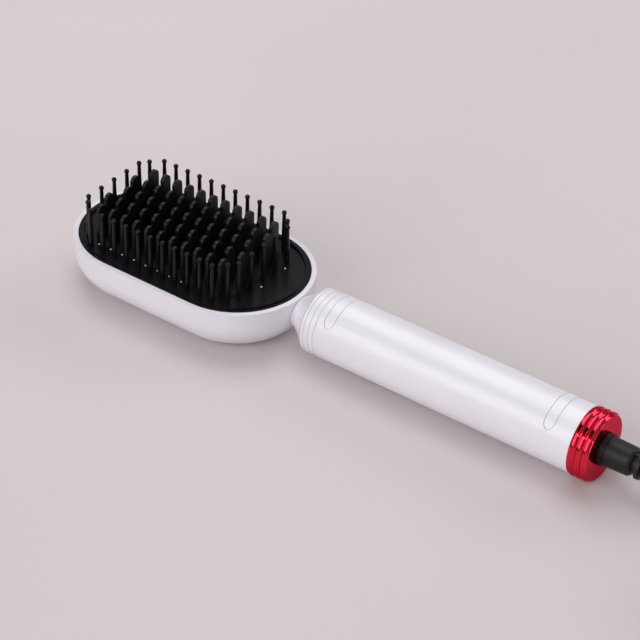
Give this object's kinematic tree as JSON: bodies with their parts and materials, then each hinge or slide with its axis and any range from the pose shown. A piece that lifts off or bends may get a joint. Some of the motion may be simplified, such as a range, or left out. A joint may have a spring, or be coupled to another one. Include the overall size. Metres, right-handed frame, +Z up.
{
  "type": "hair_straightening_brush",
  "caption": "Hair straightening brush: stadium tray with heated teeth inside a fence of cool ball-tipped pins, round handle, red ridged end cap and swivelling mains cord.",
  "frame": {"origin": "bottom centre of the brush without its cord, on the surface that it lies on", "axes": "X runs along the handle from the head to the cord end, Z is up through the bristles, Y completes a right-handed frame"},
  "size_m": [0.4337, 0.1041, 0.043],
  "materials": {
    "white_gloss": "glossy white moulded plastic",
    "white_key": "satin white plastic",
    "black_gloss": "glossy black plastic",
    "black_plastic": "satin black plastic",
    "black_coating": "dark ceramic coating on die-cast aluminium",
    "aluminium": "plain aluminium",
    "amber_film": "amber insulating film or board",
    "plain_steel": "plated steel",
    "mica_board": "pressed mica board",
    "brown_glass": "glass bead",
    "green_board": "green circuit board",
    "dark_window": "dark smoked window",
    "red_wire": "silicone covered wire",
    "blue_wire": "silicone covered wire",
    "red_mirror_metal": "red lacquered mirror metal",
    "brass": "plain brass",
    "black_rubber": "matte black rubber",
    "black_strap": "black woven strap"
  },
  "bodies": {
    "brush": {"head_housing": "white_gloss", "bezel": "black_gloss", "face_frame": "black_plastic", "heating_plate": "black_coating", "heater_elements": "aluminium", "insulation_film": "amber_film", "pressure_plate": "plain_steel", "pressure_screws": "plain_steel", "heat_shield": "mica_board", "thermal_fuse": "plain_steel", "temperature_sensor": "brown_glass", "face_screws": "plain_steel", "neck": "white_gloss", "neck_clip": "plain_steel", "handle_shell": "white_gloss", "control_panel": "white_gloss", "front_screw_cover": "white_gloss", "rear_screw_cover": "white_gloss", "handle_screws": "plain_steel", "circuit_board": "green_board", "board_parts": "black_plastic", "board_screws": "plain_steel", "display_module": "black_plastic", "display_window": "dark_window", "tactile_switches": "black_plastic", "heater_leads": "red_wire", "mains_leads": "blue_wire", "end_cap": "red_mirror_metal", "contact_block": "amber_film"},
    "power_key": {"power_button": "white_key"},
    "plus_key": {"plus_button": "white_key"},
    "minus_key": {"minus_button": "white_key"},
    "cord_set": {"swivel_core": "white_key", "slip_rings": "brass", "strain_relief": "black_rubber", "cord": "black_rubber", "cord_coil": "black_rubber", "cord_tail": "black_rubber", "coil_tie": "black_strap", "plug_body": "black_rubber", "plug_pins": "plain_steel"}
  },
  "joints": [
    {"name": "power_press", "type": "slide", "parent": "brush", "child": "power_key", "axis": [0, 0, 1], "range_m": [0, 0.0004], "stiffness_N_per_m": 900, "springref_m": -0.0012},
    {"name": "plus_press", "type": "slide", "parent": "brush", "child": "plus_key", "axis": [0, 0, 1], "range_m": [0, 0.0004], "stiffness_N_per_m": 900, "springref_m": -0.0012},
    {"name": "minus_press", "type": "slide", "parent": "brush", "child": "minus_key", "axis": [0, 0, 1], "range_m": [0, 0.0004], "stiffness_N_per_m": 900, "springref_m": -0.0012},
    {"name": "cord_swivel", "type": "hinge", "parent": "brush", "child": "cord_set", "pos_m": [0.1365, 0, 0.0155], "axis": [1, 0, 0], "continuous": true}
  ]
}
